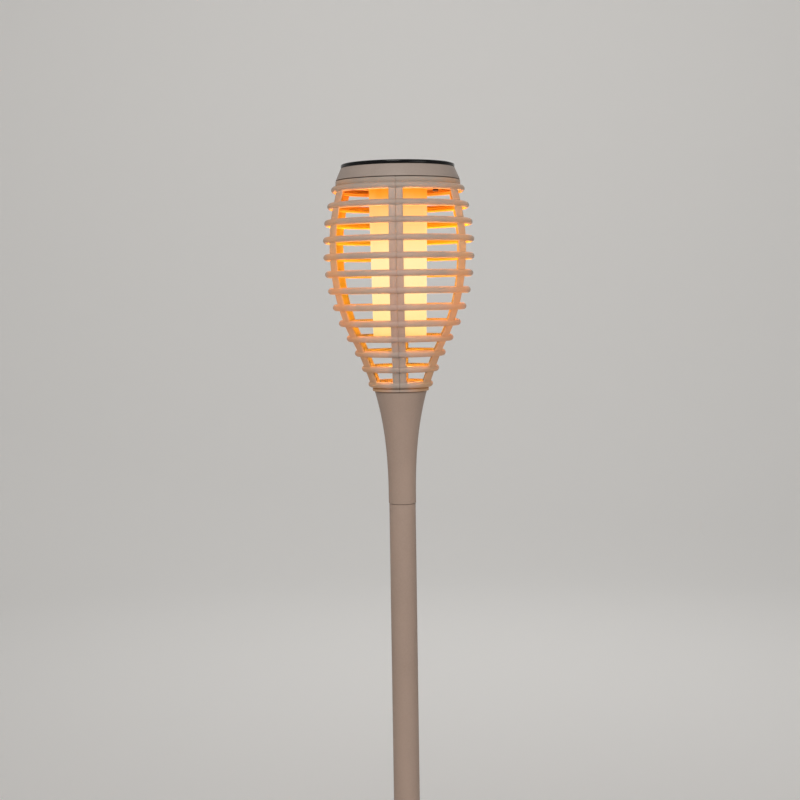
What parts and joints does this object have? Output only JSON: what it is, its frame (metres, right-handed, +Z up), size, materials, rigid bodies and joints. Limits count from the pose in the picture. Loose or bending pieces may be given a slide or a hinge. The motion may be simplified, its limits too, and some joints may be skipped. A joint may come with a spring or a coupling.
{
  "type": "solar flame torch",
  "caption": "Solar garden torch on a plug-together pole: a ribbed drop-shaped cage around a glowing flame tube, with a lift-out solar cap and a ground spike.",
  "frame": {"origin": "on the torch's axis at ground level, at the underside of the spike's collar", "axes": "+Z up along the pole, -Y the front (the seam of the cage that faces the viewer), +X the viewer's right"},
  "size_m": [0.12, 0.12, 1.0598],
  "materials": {
    "greige_plastic": "fine satin moulding texture, warm grey-beige",
    "black_gloss": "polished black",
    "black_matte": "matt black",
    "black_rubber": "soft matt silicone",
    "solar_cell": "dark blue-black cells with thin silver lines",
    "clear_window": "clear, smooth",
    "flame_diffuser": "frosted white plastic lit from inside, orange above and pale yellow below",
    "white_plastic": "plain moulded",
    "green_board": "solder-masked board",
    "flex_board": "white flexible board with pale yellow diodes",
    "cell_wrap": "shrink-wrapped film",
    "bright_steel": "bright zinc-plated steel",
    "red_insulation": "soft insulation",
    "black_insulation": "soft insulation"
  },
  "bodies": {
    "spike": {"ground_spike": "greige_plastic"},
    "lower_pole": {"lower_pole": "greige_plastic"},
    "upper_pole": {"upper_pole": "greige_plastic"},
    "head": {"flared_stem": "greige_plastic", "cage_half_left": "greige_plastic", "cage_half_right": "greige_plastic"},
    "seal": {"seal_ring": "black_rubber"},
    "lamp_unit": {"cap_shell": "greige_plastic", "base_plate": "greige_plastic", "bezel_ring": "black_gloss", "solar_panel": "solar_cell", "panel_window": "clear_window", "flame_tube": "flame_diffuser", "tube_end_cap": "flame_diffuser", "control_board": "green_board", "switch_body": "black_matte", "led_core": "white_plastic", "led_board": "flex_board", "core_plug": "white_plastic", "battery": "cell_wrap", "battery_spring": "bright_steel", "battery_contact": "bright_steel", "base_screw_1": "bright_steel", "base_screw_2": "bright_steel", "base_screw_3": "bright_steel", "solar_lead_red": "red_insulation", "solar_lead_black": "black_insulation", "led_lead_red": "red_insulation", "led_lead_black": "black_insulation", "battery_lead_red": "red_insulation", "battery_lead_black": "black_insulation"},
    "switch": {"switch_knob": "black_matte"}
  },
  "joints": [
    {"name": "lower_pole_pull", "type": "slide", "parent": "spike", "child": "lower_pole", "axis": [0, 0, 1], "range_m": [0, 0.034]},
    {"name": "upper_pole_pull", "type": "slide", "parent": "lower_pole", "child": "upper_pole", "axis": [0, 0, 1], "range_m": [0, 0.034]},
    {"name": "head_pull", "type": "slide", "parent": "upper_pole", "child": "head", "axis": [0, 0, 1], "range_m": [0, 0.034]},
    {"name": "lamp_lift", "type": "slide", "parent": "head", "child": "seal", "axis": [0, 0, 1], "range_m": [0, 0.13]},
    {"name": "lamp_twist", "type": "hinge", "parent": "seal", "child": "lamp_unit", "pos_m": [0, 0, 0.8751], "axis": [0, 0, -1], "range_deg": [0, 20]},
    {"name": "switch_slide", "type": "slide", "parent": "lamp_unit", "child": "switch", "axis": [1, 0, 0], "range_m": [0, 0.0025]}
  ]
}
